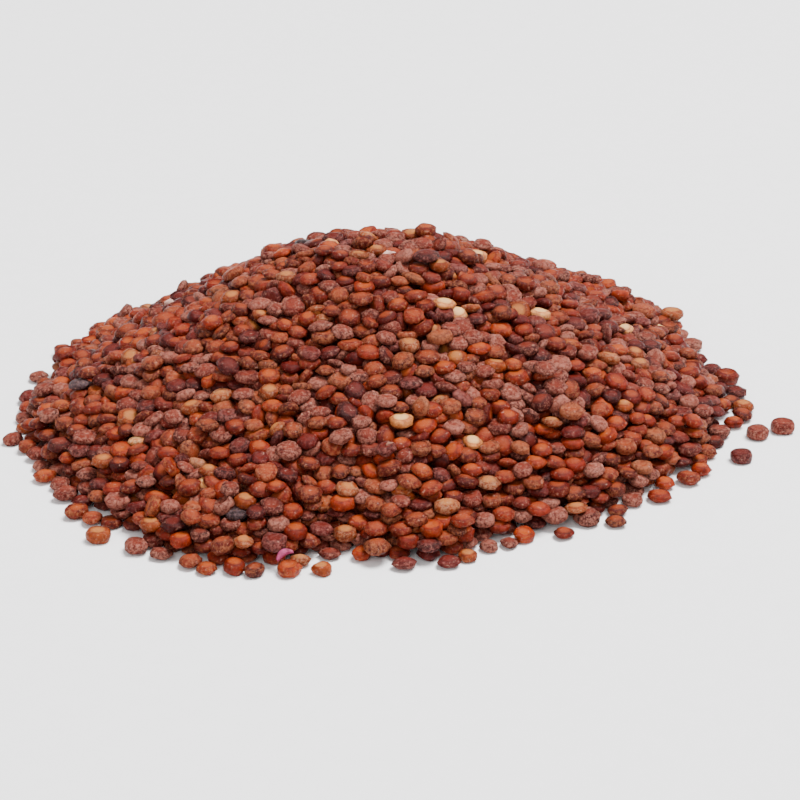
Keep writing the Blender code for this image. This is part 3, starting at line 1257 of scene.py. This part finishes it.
def build_flakes(name, flakes, material, draw):
    """One piece of some flakes of husk."""
    bm = bmesh.new()
    for flake in flakes:
        husk_flake(bm, flake, draw.uniform(0, 50))
    bmesh.ops.recalc_face_normals(bm, faces=bm.faces)
    mesh = mesh_of(bm, name, material)
    own_place = np.empty(len(mesh.vertices) * 3)
    mesh.vertices.foreach_get("co", own_place)
    fill_attribute(mesh, "hull_place_mm", "FLOAT_VECTOR", "vector", own_place / MM)
    as_piece(in_scene(name, mesh), ["quinoa_heap"])


def scattered_flakes(maps, draw):
    """Small flakes lying here and there on the seeds."""
    candidates = np.argwhere(maps.depth > CORE_INSET)
    flakes = []
    for _ in range(FLAKE_COUNT):
        cell = tuple(candidates[draw.randrange(len(candidates))])
        place = np.array((*maps.place_of(cell), maps.top[cell] + FLAKE_LIFT))
        length = draw.uniform(*FLAKE_LENGTH)
        width = length * FLAKE_WIDTH_SHARE
        lean = draw.gauss(5, 8)
        spin = draw.gauss(0, 40)
        flakes.append(Flake(place, length, width, lean, spin))
    return flakes


def build_husk(maps, draw):
    """A few brown flakes scattered over the heap, and the pale and magenta ones that show."""
    brown = papery_husk("quinoa_husk_brown", ("#6A3826", "#8E5E48"))
    build_flakes("brown_husk_flakes", scattered_flakes(maps, draw), brown, draw)
    pale = papery_husk("quinoa_husk_pale", ("#A87060", "#D4B0A2"))
    open_husks = [
        Flake(before_seeds(maps, pixel), *OPEN_HUSK_SIZE, lean=30, spin=spin)
        for pixel, spin in PALE_FLAKE_PIXELS.items()
    ]
    build_flakes("open_husks", open_husks, pale, draw)
    magenta = papery_husk("quinoa_husk_magenta", ("#6A1030", "#AC3C6C"))
    curl = Flake(before_seeds(maps, MAGENTA_FLAKE_PIXEL), *MAGENTA_HUSK_SIZE, lean=50, spin=30)
    build_flakes("magenta_husk", [curl], magenta, draw)


# Floor, light and camera


def build_floor():
    """A white card under the heap, out of the camera's sight at its edges."""
    bm = bmesh.new()
    bmesh.ops.create_circle(bm, cap_ends=True, segments=96, radius=FLOOR_RADIUS)
    card = matte_card("white_studio_card")
    in_scene("studio_floor", mesh_of(bm, "studio_floor", card))


def add_area_light(name, place, size, watts):
    """A square soft white light that faces the heap."""
    light = bpy.data.lights.new(name, "AREA")
    light.size = size
    light.energy = watts
    obj = in_scene(name, light)
    obj.location = place
    obj.rotation_euler = (-Vector(place)).to_track_quat("-Z", "Y").to_euler()


def build_light():
    """Soft light from above and behind on the right, filled from all sides by a white room."""
    add_area_light("key_softbox", (0.26, 0.06, 0.80), size=0.40, watts=19.0)
    add_area_light("front_fill", (-0.25, -0.75, 0.55), size=0.8, watts=4.0)
    world = bpy.data.worlds.new("white_room")
    world.use_nodes = True
    background = world.node_tree.nodes["Background"]
    background.inputs["Color"].default_value = (1, 1, 1, 1)
    background.inputs["Strength"].default_value = 0.66
    bpy.context.scene.world = world


def build_camera():
    """The camera at the photograph's angle."""
    right, up, back = camera_turn()
    camera = bpy.data.cameras.new("camera")
    camera.lens = FOCAL_LENGTH_PIXELS / IMAGE_SIZE * SENSOR_WIDTH_MM
    camera.sensor_width = SENSOR_WIDTH_MM
    camera.clip_start = 0.01
    obj = in_scene("camera", camera)
    obj.location = CAMERA_TARGET + back * CAMERA_DISTANCE
    obj.rotation_euler = Matrix((right, up, back)).transposed().to_euler()
    bpy.context.scene.camera = obj


def main():
    draw = random.Random(11)
    maps = Maps()
    core_map(maps)
    build_core(maps)
    forms = {k: [seed_form(k, v, SEED_SIDES) for v in range(VARIANTS)] for k in SECTIONS}
    materials = {
        "red": rubbed_red_hull(),
        "amber": rubbed_amber_hull(),
        "tan": faded_tan_hull(),
        "mauve": dusty_mauve_hull(),
        "maroon": ripe_maroon_hull(),
        "black": black_hull(),
        "ivory": ivory_hull(),
    }
    build_heap(maps, forms, materials, draw)
    build_lone_seeds(materials, draw)
    build_husk(maps, draw)
    build_floor()
    build_light()
    build_camera()


main()
